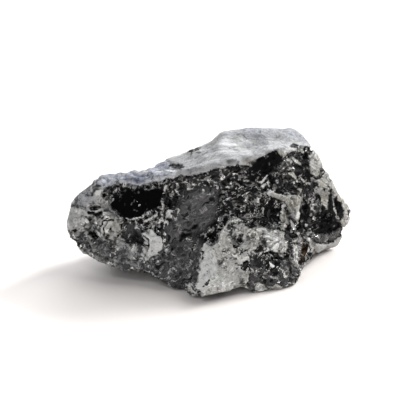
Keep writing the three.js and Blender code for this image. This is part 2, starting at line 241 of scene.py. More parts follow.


# Each patch says what the mineral is inside its outline, and a later one lies over
# an earlier one. dark is how much of it is hornblende, pale how light the feldspar
# is, and blue, tan and rust are its tints. smoky is how far hornblende shows through,
# and milky how calm the feldspar is. matte is dull cleavage whose grey is a painted sheen,
# gloss a flat shining face, fleck bright flakes that are partly painted glints, and streak
# fibres. crystal, grain and ripple are kinds of relief, lift is how far it all stands out
# in mm, and soft is its edge in steps. Small patches with pale of 1.2 or more are painted
# highlights.
patches = {
    "topFace": dict(dark=-0.1, pale=0.4, blue=0.2, fleckAndGlint=0.0, crystal=0.06, tan=0.0, smoky=1.0,
        milky=0.8,
        outline=[(80, 186), (92, 184), (104, 187), (112, 184), (125, 184), (140, 186), (150, 183),
            (165, 178.5), (180, 176.5), (195, 174.5), (206, 171.5), (215, 168), (232, 165),
            (245, 164.5), (262, 157), (276, 149), (290, 152), (300, 147), (314, 146), (330, 120),
            (230, 100), (60, 140)]),
    "crest": dict(dark=0.0, pale=0.52, blue=1.0, ripple=1.0, smoky=1.0, milky=0.3, soft=3,
        outline=[(88, 184), (104, 187), (112, 184), (125, 184), (140, 186), (150, 183), (165, 178),
            (176, 173), (170, 163), (158, 158), (130, 160), (88, 165)]),
    "crestTip": dict(pale=0.62, blue=0.5, soft=2.5,
        outline=[(140, 186), (150, 183), (165, 178), (182, 170), (166, 172)]),
    "topGrey": dict(pale=0.46, blue=0.15, soft=4,
        outline=[(165, 160), (200, 144), (216, 138), (214, 150), (196, 160), (176, 166)]),
    "rimBand": dict(pale=0.38, blue=0.1, dark=-0.1, soft=2.5,
        outline=[(180, 175), (200, 172.5), (215, 167.5), (232, 164.5), (252, 158.5), (264, 153),
            (240, 151), (215, 156), (195, 163), (184, 168)]),
    # painted highlight: a lighter pool of light in the scoop of the top face
    "scoopHighlight": dict(pale=0.66, soft=5,
        outline=[(216, 148), (222, 138), (240, 134), (256, 140), (250, 151), (226, 153)]),
    "backRim": dict(pale=0.26, blue=0.35, soft=3,
        outline=[(230, 120), (300, 120), (312, 145), (302, 144), (287, 133), (262, 134), (258, 138),
            (246, 136), (234, 131)]),
    "greyVeil": dict(pale=0.46, blue=0.2, soft=4,
        outline=[(256, 142), (268, 137), (284, 140), (296, 138), (290, 146), (270, 148)]),
    "darkLens": dict(dark=0.9, pale=0.2, soft=1, lift=-0.15, smoky=0.5, milky=0.0,
        outline=[(168, 166), (172, 163.5), (178, 163.8), (185, 167), (180, 169.5), (172, 168.5)]),
    "backSpeck": dict(dark=0.5, pale=0.35, soft=1.5, smoky=0.6,
        outline=[(187, 151), (194, 146), (201, 147), (199, 152), (191, 153)]),
    "ochreSpot": dict(tan=0.8, pale=0.6, soft=2,
        outline=[(241, 163), (249, 158), (257, 160), (247, 166)]),
    "ochreRim": dict(tan=0.9, pale=0.62, dark=-0.1, soft=1.2,
        outline=[(277, 149), (283, 150), (289, 152), (286, 158), (280, 157)]),
    "leftEnd": dict(dark=0.34, pale=0.55, tan=0.2, fleckAndGlint=0.06, crystal=0.25, smoky=2.0, milky=0.3,
        streak=0.3,
        outline=[(55, 180), (92, 183), (104, 188), (112, 196), (112, 208), (123, 217), (126, 240),
            (118, 262), (100, 270), (55, 256)]),
    "leftBlue": dict(dark=0.1, pale=0.46, blue=0.45, fleckAndGlint=0.0, soft=4, milky=0.6, smoky=1.5,
        outline=[(72, 207), (76, 196), (84, 190), (92, 186), (94, 200), (86, 208)]),
    "leftPale": dict(pale=0.56, dark=-0.1, tan=0.1, soft=2.5, milky=0.5,
        outline=[(60, 212), (76, 207), (88, 210), (92, 216), (86, 224), (84, 232), (72, 229),
            (60, 226)]),
    "leftSlab": dict(pale=0.48, dark=0.0, soft=2,
        outline=[(91, 198), (97, 196), (104, 203), (108, 206), (103, 212), (93, 205)]),
    "greenish": dict(pale=0.4, tan=0.2, dark=0.0, soft=2,
        outline=[(103, 207), (110, 204), (113, 211), (122, 217), (112, 219), (104, 214)]),
    "leftGlint": dict(pale=1.9, dark=-0.5, soft=0.8, lift=0.0, milky=1.0,
        outline=[(95, 193.5), (96, 190.5), (101, 189.5), (103, 190), (100, 192.5), (97, 195.5)]),
    "leftGlintTop": dict(pale=1.6, dark=-0.5, soft=0.7,
        outline=[(98, 188.3), (100, 187.3), (103.5, 187.3), (102.5, 188.6)]),
    "upperGash": dict(dark=1.3, soft=0.8, smoky=0.0, lift=-0.3,
        outline=[(90.5, 208.5), (94, 205.5), (97, 207), (101, 207), (99, 210), (96, 211.5), (92, 210)]),
    "smallGash": dict(dark=1.2, soft=0.8, smoky=0.0, lift=-0.2,
        outline=[(85.5, 217), (93, 217), (93.5, 219), (91, 221.5), (88, 219)]),
    "tinyGash": dict(dark=1.0, soft=0.8, smoky=0.1, outline=[(82, 226), (85, 224), (85, 226.5)]),
    "swirlGround": dict(tan=0.8, pale=0.68, dark=0.1, fleckAndGlint=0.2, soft=2,
        outline=[(100, 219), (112, 217), (121, 221), (125, 228), (122, 238), (110, 239), (102, 232)]),
    "pitCluster": dict(dark=0.85, fleckAndGlint=0.5, crystal=1.0, smoky=0.0, soft=1, lift=-0.35,
        outline=[(88.5, 234), (90, 229.5), (93.5, 227.5), (96, 232), (99, 237), (96, 239),
            (91.5, 237)]),
    "rimSpot": dict(tan=1.0, pale=0.5, dark=-0.1, soft=1.2,
        outline=[(73, 232), (78, 230), (81, 233), (79, 237), (74, 236)]),
    "rimDot": dict(dark=1.2, smoky=0.0, soft=0.8,
        outline=[(72, 230), (75, 228.5), (77, 231), (74, 232)]),
    "endNotch": dict(dark=1.3, smoky=0.0, soft=0.8, lift=-0.2,
        outline=[(70, 237), (76, 240), (80, 243), (84.5, 248.5), (81, 248), (76, 245), (71, 241)]),
    "leftShade": dict(dark=1.0, pale=0.2, fleckAndGlint=0.08, crystal=0.8, smoky=0.8, matteSheen=0.6, soft=2,
        outline=[(122, 224), (134, 222), (141, 226), (143, 234), (140, 241), (130, 243), (122, 236)]),
    "shadeCore": dict(dark=1.2, matteSheen=0.0, smoky=0.0, soft=2, streak=0.0,
        outline=[(131, 236), (136, 231), (141, 236), (138, 241), (131, 241)]),
    "lowerLeft": dict(dark=0.56, pale=0.46, fleckAndGlint=0.12, crystal=0.25, smoky=2.4, soft=4, streak=0.25,
        matteSheen=0.7,
        outline=[(84, 241), (104, 244), (125, 243), (143, 246), (144, 262), (140, 278), (118, 272),
            (96, 266), (80, 254)]),
    "lowPale": dict(pale=0.5, dark=0.1, soft=2,
        outline=[(113, 240), (122, 241), (124, 246), (116, 247)]),
    "lowPaleRight": dict(pale=0.55, dark=0.15, fleckAndGlint=0.5, soft=2,
        outline=[(129, 250), (137, 247), (141, 256), (134, 258)]),
    "leftBlot": dict(dark=1.2, smoky=0.0, fleckAndGlint=0.4, soft=1,
        outline=[(105.5, 252), (112, 251), (118, 255), (116, 259), (111, 258), (108, 255)]),
    "midBlot": dict(dark=1.0, smoky=0.1, soft=1.2,
        outline=[(109, 249), (113, 246.5), (117, 247), (114, 250)]),
    "underBlot": dict(dark=1.3, smoky=0.0, soft=0.9,
        outline=[(122, 264), (130, 265), (135, 267), (134, 271), (129, 269.5), (125, 266.5)]),
    "leftRim": dict(dark=1.15, fleckAndGlint=0.5, crystal=1.0, matteSheen=0.1, smoky=0.0, soft=1.2, streak=0.6,
        outline=[(101, 196), (104, 190), (110, 186), (119, 183.5), (128, 185), (126, 190), (117, 195),
            (112, 200), (104, 198.5)]),
    "blackFacet": dict(dark=1.6, fleckAndGlint=0.015, crystal=0.0, matteSheen=0.0, gloss=1.0, smoky=0.0, soft=0.8,
        lift=-0.1,
        outline=[(111, 205), (113, 199), (116, 195), (119, 190), (127, 189), (133, 190.5), (146, 189),
            (155, 188.5), (164, 189), (163, 197), (160, 200), (161, 206), (154, 209), (146, 213),
            (140, 217), (130, 218.5), (126, 219), (122, 216), (117, 213.5), (112, 210)]),
    "lowerRim": dict(dark=0.95, fleckAndGlint=0.9, crystal=1.0, streak=1.0, smoky=0.0, soft=1.2,
        outline=[(127, 221), (140, 218), (151, 212.5), (160, 208), (163, 213), (161, 224), (151, 228),
            (143, 229), (134, 226)]),
    "rightOfRidge": dict(dark=1.1, fleckAndGlint=0.5, crystal=1.0, matteSheen=0.15, soft=2, streak=0.6,
        outline=[(165, 183), (182, 175), (197, 180), (190, 196), (182, 205), (175, 214), (166, 222),
            (163, 208), (166, 196)]),
    # painted sheen: the grey of this dull cleavage face
    "greyPlane": dict(dark=1.3, matteSheen=0.95, fleckAndGlint=0.02, crystal=0.16, smoky=0.0, soft=6, streak=0.15,
        outline=[(178, 206), (184, 195), (193, 190), (206, 186), (217, 190), (219, 205), (213, 222),
            (205, 230), (196, 232), (184, 238), (171, 247), (163, 242), (164, 228), (172, 218)]),
    "shardUpper": dict(shard,
        outline=[(187.5, 230.5), (191, 228), (193, 225.5), (197, 224), (199, 225.5), (198, 229),
            (193, 230.5)]),
    "shardLower": dict(shard,
        outline=[(177, 244), (179.5, 238), (182, 232), (185, 233.5), (191.5, 233.5), (191, 235.5),
            (186, 237), (182.5, 237.5), (180, 242)]),
    "shardBand": dict(dark=1.3, matteSheen=0.1, fleckAndGlint=0.1, soft=1.5,
        outline=[(181, 243), (198, 238), (204, 234), (203, 242), (192, 247), (182, 248)]),
    # partly a painted highlight: a pale fragment whose glinting is whitened into the colour
    "glintingFragment": dict(dark=0.1, pale=1.25, fleckAndGlint=0.6, crystal=1.0, smoky=0.1, soft=1, lift=0.2,
        outline=[(165, 224), (165.5, 213), (169, 209), (173, 210), (172, 218), (168.5, 223)]),
    "lowerMixed": dict(dark=1.0, pale=0.42, fleckAndGlint=0.1, crystal=0.6, smoky=0.55, matteSheen=0.85, soft=3,
        streak=0.45,
        outline=[(140, 263), (151, 257), (163, 248), (171, 246), (184, 240), (196, 236), (203, 243),
            (202, 250), (200, 287), (190, 300), (165, 290), (146, 280)]),
    "mixedGrey": dict(pale=0.32, dark=0.5, smoky=0.7, soft=3,
        outline=[(178, 258), (186, 257), (192, 262), (188, 268), (180, 266)]),
    "whiteWedge": dict(pale=1.15, dark=-0.2, fleckAndGlint=0.2, smoky=0.3, milky=0.2, soft=1, lift=0.25,
        streak=0.8,
        outline=[(150, 229), (153, 231), (157, 235), (161, 236), (163, 241), (162.5, 249), (157.5, 252),
            (152, 257), (148, 261), (143, 260), (147, 252), (150, 245), (148.5, 238)]),
    "wedgeSide": dict(pale=0.72, dark=0.22, fleckAndGlint=0.2, streak=1.0, smoky=0.4, soft=1.2,
        outline=[(143, 229), (149, 229), (148.5, 240), (148, 248), (143, 260), (139, 258), (143, 248)]),
    "wedgeHole": dict(dark=0.95, smoky=0.2, soft=1,
        outline=[(155, 230), (160, 229), (162, 234), (160, 237.5), (156.5, 235)]),
    "underFlat": dict(dark=1.2, matteSheen=0.9, crystal=0.3, soft=3,
        outline=[(147, 264), (157, 262), (168, 266), (176, 273), (170, 280), (158, 276)]),
    "footPale": dict(pale=0.62, dark=0.3, tan=0.3, smoky=0.3, soft=2,
        outline=[(180, 283), (188, 283), (194, 281), (199, 284), (204, 292), (206, 300), (186, 300)]),
    "upperBand": dict(dark=1.3, matteSheen=0.3, pale=0.4, fleckAndGlint=0.3, streak=1.0, crystal=0.55, smoky=0.2,
        soft=2,
        outline=[(182, 178), (200, 175), (215, 170), (232, 167), (245, 167.5), (250, 176), (240, 184),
            (222, 184), (206, 183), (190, 187), (180, 183)]),
    "bandBlack": dict(dark=1.4, matteSheen=0.0, smoky=0.0, streak=0.3, fleckAndGlint=0.1, gloss=0.4, soft=2,
        outline=[(221, 178), (230, 173), (238, 167), (246, 166), (249, 172), (245, 178), (236, 180),
            (231, 189), (223, 187)]),
    "speckled": dict(dark=1.22, fleckAndGlint=0.9, crystal=1.0, matteSheen=0.06, smoky=0.0, soft=3, streak=0.75,
        outline=[(222, 187), (240, 184), (250, 182), (262, 184), (262, 196), (262, 212), (266, 222),
            (270, 229), (254, 227), (244, 219), (232, 217), (224, 224), (214, 236), (218, 206)]),
    "upperRight": dict(dark=1.1, pale=0.24, tan=0.4, matteSheen=0.08, fleckAndGlint=0.2, crystal=0.9, smoky=0.15,
        streak=0.3, soft=2,
        outline=[(268, 174), (282, 158), (290, 152), (312, 147), (315, 155), (312, 168), (311, 181),
            (310, 192), (302, 194), (286, 193), (268, 188)]),
    "cornerFacet": dict(dark=1.6, fleckAndGlint=0.04, crystal=0.03, gloss=1.0, matteSheen=0.06, smoky=0.0, soft=1.2,
        streak=0.0,
        outline=[(247, 175), (248, 170), (258, 159), (272, 152), (277, 150), (279, 156), (284, 157.5),
            (283, 162), (275, 167), (268, 175), (262, 181), (251, 182)]),
    "cornerShade": dict(pale=0.34, blue=0.1, soft=3,
        outline=[(284, 141), (296, 137), (308, 142), (314, 149), (303, 148), (292, 147)]),
    "chipSpots": dict(dark=1.2, smoky=0.0, soft=0.7,
        outline=[(289, 145.5), (293, 144), (298, 146), (300, 152), (296.5, 152.5), (294, 148.5),
            (290, 148.5)]),
    "topBlack": dict(dark=1.2, fleckAndGlint=0.1, smoky=0.0, soft=0.8,
        outline=[(302, 148), (306, 147.5), (311, 146.5), (313, 150), (309, 154), (305, 155),
            (302, 152)]),
    "diagonalBlack": dict(dark=1.2, fleckAndGlint=0.05, smoky=0.0, soft=0.9,
        outline=[(291, 151), (297, 151.5), (304, 153), (307, 160), (309, 166), (304, 164), (300, 160),
            (296, 155)]),
    "chipStrip": dict(tan=0.8, pale=0.5, dark=-0.1, smoky=0.0, soft=0.9,
        outline=[(290, 156.5), (295, 158), (300, 162.5), (303, 167), (300, 165.5), (294, 160.5)]),
    "chipSugar": dict(pale=0.55, dark=0.3, fleckAndGlint=0.8, tan=0.2, soft=1.2,
        outline=[(284, 159), (290, 157), (293, 161), (291, 165), (286, 164)]),
    "edgePale": dict(pale=0.5, tan=0.35, dark=-0.1, soft=1.2,
        outline=[(289, 148), (299, 148), (303, 151), (295, 151), (290, 150)]),
    "swirlArc": dict(dark=1.1, matteSheen=0.7, smoky=0.0, soft=1.2,
        outline=[(275, 169), (284, 166), (298, 168), (305, 176), (297, 172), (286, 170)]),
    "shoulderBlack": dict(dark=1.2, smoky=0.0, matteSheen=0.1, soft=1,
        outline=[(300, 168), (306, 169), (310, 176), (310, 180), (305, 177), (301, 172)]),
    "tanArcLower": dict(tanArc, pale=0.48,
        outline=[(287, 173.6), (292, 172), (296, 175), (299.5, 180), (300.5, 184.5), (297, 181.5),
            (293, 177)]),
    "tanArcUpper": dict(tanArc,
        outline=[(299, 175.6), (304, 179), (309, 184.5), (308.5, 187), (304.5, 184), (301, 180)]),
    "arcBlack": dict(dark=1.3, smoky=0.0, fleckAndGlint=0.1, soft=1,
        outline=[(282, 183), (289, 181), (295, 182), (302, 186), (296, 187), (292, 189.5), (283, 188)]),
    "tanDrop": dict(tan=0.8, pale=0.45, dark=-0.1, soft=0.8,
        outline=[(296, 187.5), (300.5, 187.8), (302, 191.5), (299.5, 190.5)]),
    "sugarSpot": dict(pale=0.6, dark=0.5, fleckAndGlint=0.9, soft=1.5,
        outline=[(261, 184), (265, 182), (270, 186), (267, 190), (261, 189)]),
    "blackMiddle": dict(dark=1.3, fleckAndGlint=0.06, crystal=0.6, smoky=0.0, soft=1.5, lift=-0.2, streak=0.0,
        outline=[(262, 201), (271, 198), (281, 201), (285, 206), (282, 212), (279, 221), (270, 222),
            (262, 215)]),
    "tanWedge": dict(tan=0.75, pale=0.22, dark=-0.2, fleckAndGlint=0.0, crystal=0.35, matteSheen=0.0, smoky=0.0,
        soft=0.8, lift=0.3,
        outline=[(267, 193.5), (270, 192), (276, 193), (285, 196), (293, 195), (300, 196), (302.5, 199),
            (301, 205), (299.5, 216), (298, 223.5), (295, 219), (291, 213), (288, 207), (285, 201.5),
            (278, 199), (269, 195.5)]),
    "tanPatch": dict(tan=0.7, pale=0.46, dark=0.0, smoky=0.1, soft=1,
        outline=[(280, 215), (285, 211), (289, 216), (290, 224), (286, 228), (281, 226)]),
    "lobe": dict(dark=0.12, pale=0.6, tan=0.45, fleckAndGlint=0.35, crystal=0.16, grain=0.6, matteSheen=0.0,
        smoky=0.8, soft=1.2,
        outline=[(228, 221), (232, 219), (237, 218), (241, 220), (246, 226), (251, 228), (258, 228),
            (263, 227), (270, 230), (278, 230), (284, 233), (284, 240), (288, 248), (284, 251),
            (283, 258), (278, 254), (270, 250), (265, 253), (262, 246), (258, 250), (252, 249),
            (250, 256), (250, 280), (246, 290), (240, 292), (219, 300), (202, 300), (203, 286),
            (205, 278), (204, 266), (202, 258), (202, 249), (204, 243), (206, 241), (208, 246),
            (213, 246), (218, 242), (219, 236), (222, 230)]),
    "lobeBright": dict(pale=1.0, dark=-0.1, tan=0.05, smoky=0.2, soft=3, crystal=0.12, fleckAndGlint=0.3,
        outline=[(201, 250), (206, 243), (213, 250), (218, 262), (216, 272), (208, 284), (204, 294),
            (197, 288)]),
    "lobeFoot": dict(pale=0.66, tan=0.25, dark=-0.05, milky=0.4, soft=4,
        outline=[(212, 276), (228, 270), (244, 278), (232, 290), (214, 298)]),
    "lobeTopGrey": dict(pale=0.44, dark=0.18, tan=0.25, fleckAndGlint=0.3, soft=2.5,
        outline=[(226, 226), (236, 219), (246, 229), (242, 236), (230, 236)]),
    "lobeEdgeGrey": dict(pale=0.4, dark=0.4, soft=2,
        outline=[(240, 252), (247, 250), (251, 254), (249, 262), (242, 263)]),
    "lobePit": dict(dark=0.8, fleckAndGlint=0.4, crystal=0.8, smoky=0.1, soft=1.2, lift=-0.4,
        outline=[(230, 238), (234, 236), (241, 237), (243, 242), (239, 245.5), (234, 248), (232, 243)]),
    "lowPit": dict(dark=1.1, smoky=0.1, soft=1, lift=-0.35,
        outline=[(241, 268), (243, 262), (248, 260), (249, 266), (245, 270)]),
    "whiteSwirl": dict(pale=0.44, dark=-0.1, tan=0.02, smoky=0.2, soft=3, fleckAndGlint=0.6,
        outline=[(264, 232), (275, 231), (283, 236), (284, 246), (276, 251), (267, 248)]),
    "lowerRight": dict(dark=0.84, pale=0.5, fleckAndGlint=0.2, crystal=0.55, matteSheen=0.85, grain=0.3, smoky=0.9,
        soft=2,
        outline=[(250, 256), (252, 249), (258, 251), (262, 247), (266, 256), (272, 260), (284, 258),
            (292, 256), (293, 266), (298, 272), (294, 284), (284, 300), (258, 300), (247, 290),
            (249, 276)]),
    "sootColumn": dict(dark=1.2, matteSheen=0.2, smoky=0.3, soft=2.5,
        outline=[(255, 252), (261, 246), (266, 256), (266, 266), (258, 268), (254, 260)]),
    "sparklePit": dict(dark=1.15, fleckAndGlint=0.8, matteSheen=0.0, smoky=0.0, soft=1.5,
        outline=[(266, 260), (272, 259), (280, 263), (279, 274), (271, 276), (266, 270)]),
    "holeInSwirl": dict(dark=1.0, smoky=0.3, matteSheen=0.6, soft=1,
        outline=[(274, 254), (277, 252.5), (280, 256), (278, 259), (275, 258)]),
    "lowerLip": dict(pale=0.6, tan=0.45, dark=0.2, matteSheen=0.2, soft=1.5,
        outline=[(256, 284), (262, 282), (268, 286), (280, 284), (284, 290), (256, 292)]),
    "mixedRight": dict(dark=0.5, pale=0.55, tan=0.3, fleckAndGlint=0.08, crystal=0.7, streak=0.8, smoky=0.8,
        soft=2,
        outline=[(286, 236), (293, 228), (300, 232), (302, 250), (300, 270), (292, 284), (290, 262)]),
    "mixedPale": dict(pale=0.66, tan=0.3, dark=0.05, soft=1.5,
        outline=[(292, 246), (298, 244), (300, 252), (298, 264), (294, 268), (293, 256)]),
    "mixedSoot": dict(dark=1.0, smoky=0.15, fleckAndGlint=0.1, soft=1.5,
        outline=[(284, 231), (291, 227), (297, 232), (295, 240), (289, 244), (285, 240)]),
    "rightFace": dict(pale=0.4, tan=0.8, dark=-0.15, fleckAndGlint=0.0, crystal=0.3, matteSheen=0.0, smoky=0.1,
        streak=0.8, soft=1.2,
        outline=[(310, 192), (311, 181), (310, 168), (309, 156), (314, 150), (330, 160), (350, 190),
            (362, 214), (350, 240), (344, 228), (340, 222), (334, 216), (324, 207), (312, 208),
            (306, 206)]),
    "rightFaceTop": dict(pale=0.6, tan=0.4, dark=-0.1, soft=2.5,
        outline=[(310, 156), (315, 154), (323, 164), (320, 170), (313, 170), (309, 164)]),
    "shoulderBlot": dict(dark=1.3, smoky=0.0, soft=0.9, gloss=0.4,
        outline=[(310, 172), (314, 176), (318, 176), (321, 173), (320, 168), (323, 167), (324.5, 172),
            (321, 178), (316, 179.5), (311, 177)]),
    "shoulderShade": dict(dark=1.0, smoky=0.6, matteSheen=0.3, soft=1.5,
        outline=[(306, 183), (311, 180), (314.5, 186), (313, 196), (311.5, 207), (307, 207)]),
    "smokySpot": dict(dark=0.8, smoky=0.5, soft=2,
        outline=[(312, 181), (318, 182), (318, 187), (313, 188)]),
    "smallDark": dict(dark=1.0, smoky=0.1, soft=0.8, streak=0.0,
        outline=[(323, 187), (325, 188), (325, 192), (323, 191)]),
    "shoulderArc": dict(dark=1.3, smoky=0.0, soft=0.8,
        outline=[(311.3, 198.5), (312, 194.5), (315, 193), (319, 194.5), (320.7, 199), (320.3, 204),
            (317.5, 202.5), (315.5, 201), (313, 201)]),
    "edgeSmoke": dict(dark=0.75, smoky=0.4, soft=1.5,
        outline=[(327, 182), (329, 186), (330, 192), (328, 190)]),
    "middleFinger": dict(finger,
        outline=[(331, 189), (332.5, 196), (333.5, 204), (336, 212), (338, 219), (325, 217), (328, 205),
            (328.5, 197)]),
    "shortFinger": dict(finger, dark=1.5, soft=0.7,
        outline=[(322.5, 204), (324, 208), (326, 214), (322, 214), (321.5, 208)]),
    "rightFinger": dict(finger,
        outline=[(333.5, 200), (336, 196), (338, 201), (341, 202), (343, 210), (343, 216), (341, 219.5),
            (338, 220), (336, 214), (334, 207)]),
    "smokyFoot": dict(dark=0.9, pale=0.3, matteSheen=0.5, smoky=0.9, tan=0.1, crystal=0.6, soft=2,
        outline=[(308, 199), (314, 201), (320, 203), (322, 208), (321, 213), (315, 215), (309, 210)]),
    "leftMass": dict(dark=1.2, fleckAndGlint=0.03, crystal=0.9, smoky=0.0, soft=1, streak=0.0,
        outline=[(301, 206), (306, 203), (312, 209), (314, 214), (312, 222), (310, 230), (302, 233),
            (299, 226), (300, 214)]),
    "rightMass": dict(dark=1.6, fleckAndGlint=0.02, crystal=0.7, smoky=0.0, soft=0.9, lift=-0.25, gloss=0.6,
        streak=0.0, matteSheen=0.0,
        outline=[(315, 222), (315, 215), (320, 210.5), (324, 214), (328, 212), (336, 215), (340, 220),
            (341, 226), (336, 230), (331, 234), (325, 235), (318, 235), (311, 231), (311, 226)]),
    "shoulderBand": dict(dark=1.2, matteSheen=0.45, gloss=0.0, smoky=0.0, crystal=0.2, soft=1.5, fleckAndGlint=0.02,
        streak=0.4,
        outline=[(312, 237), (320, 235.5), (330, 235), (337, 230.5), (342, 226), (344, 229), (340, 235),
            (333, 241), (325, 243.5), (316, 243.5)]),
    "shoulderLip": dict(pale=0.4, dark=-0.1, tan=0.2, smoky=0.3, milky=0.8, crystal=0.1, soft=1.2,
        fleckAndGlint=0.0,
        outline=[(316, 244.5), (326, 244), (334, 241.5), (341, 235), (346, 228), (352, 232), (340, 250),
            (318, 258)]),
    "paleStreak": dict(pale=0.7, tan=0.4, dark=-0.1, smoky=0.1, soft=0.9,
        outline=[(307, 238), (311, 239), (316, 246), (318, 253), (314, 257), (311, 251), (309, 245)]),
    "rustSeam": dict(dark=1.1, rust=0.3, smoky=0.0, soft=1, lift=-0.3,
        outline=[(301, 241), (305, 240), (307, 245), (308, 250), (305.5, 256), (302, 262), (299, 267),
            (299.5, 262), (302, 255), (302, 248)]),
    "tipPale": dict(pale=0.62, tan=0.4, dark=-0.15, soft=2,
        outline=[(342.5, 197), (348, 204), (352, 216), (347, 226), (344.5, 218), (345, 208)]),
    "tipSpot": dict(dark=1.0, smoky=0.0, soft=0.8, streak=0.0,
        outline=[(347, 210), (350, 210), (350, 216), (347, 215)]),
}
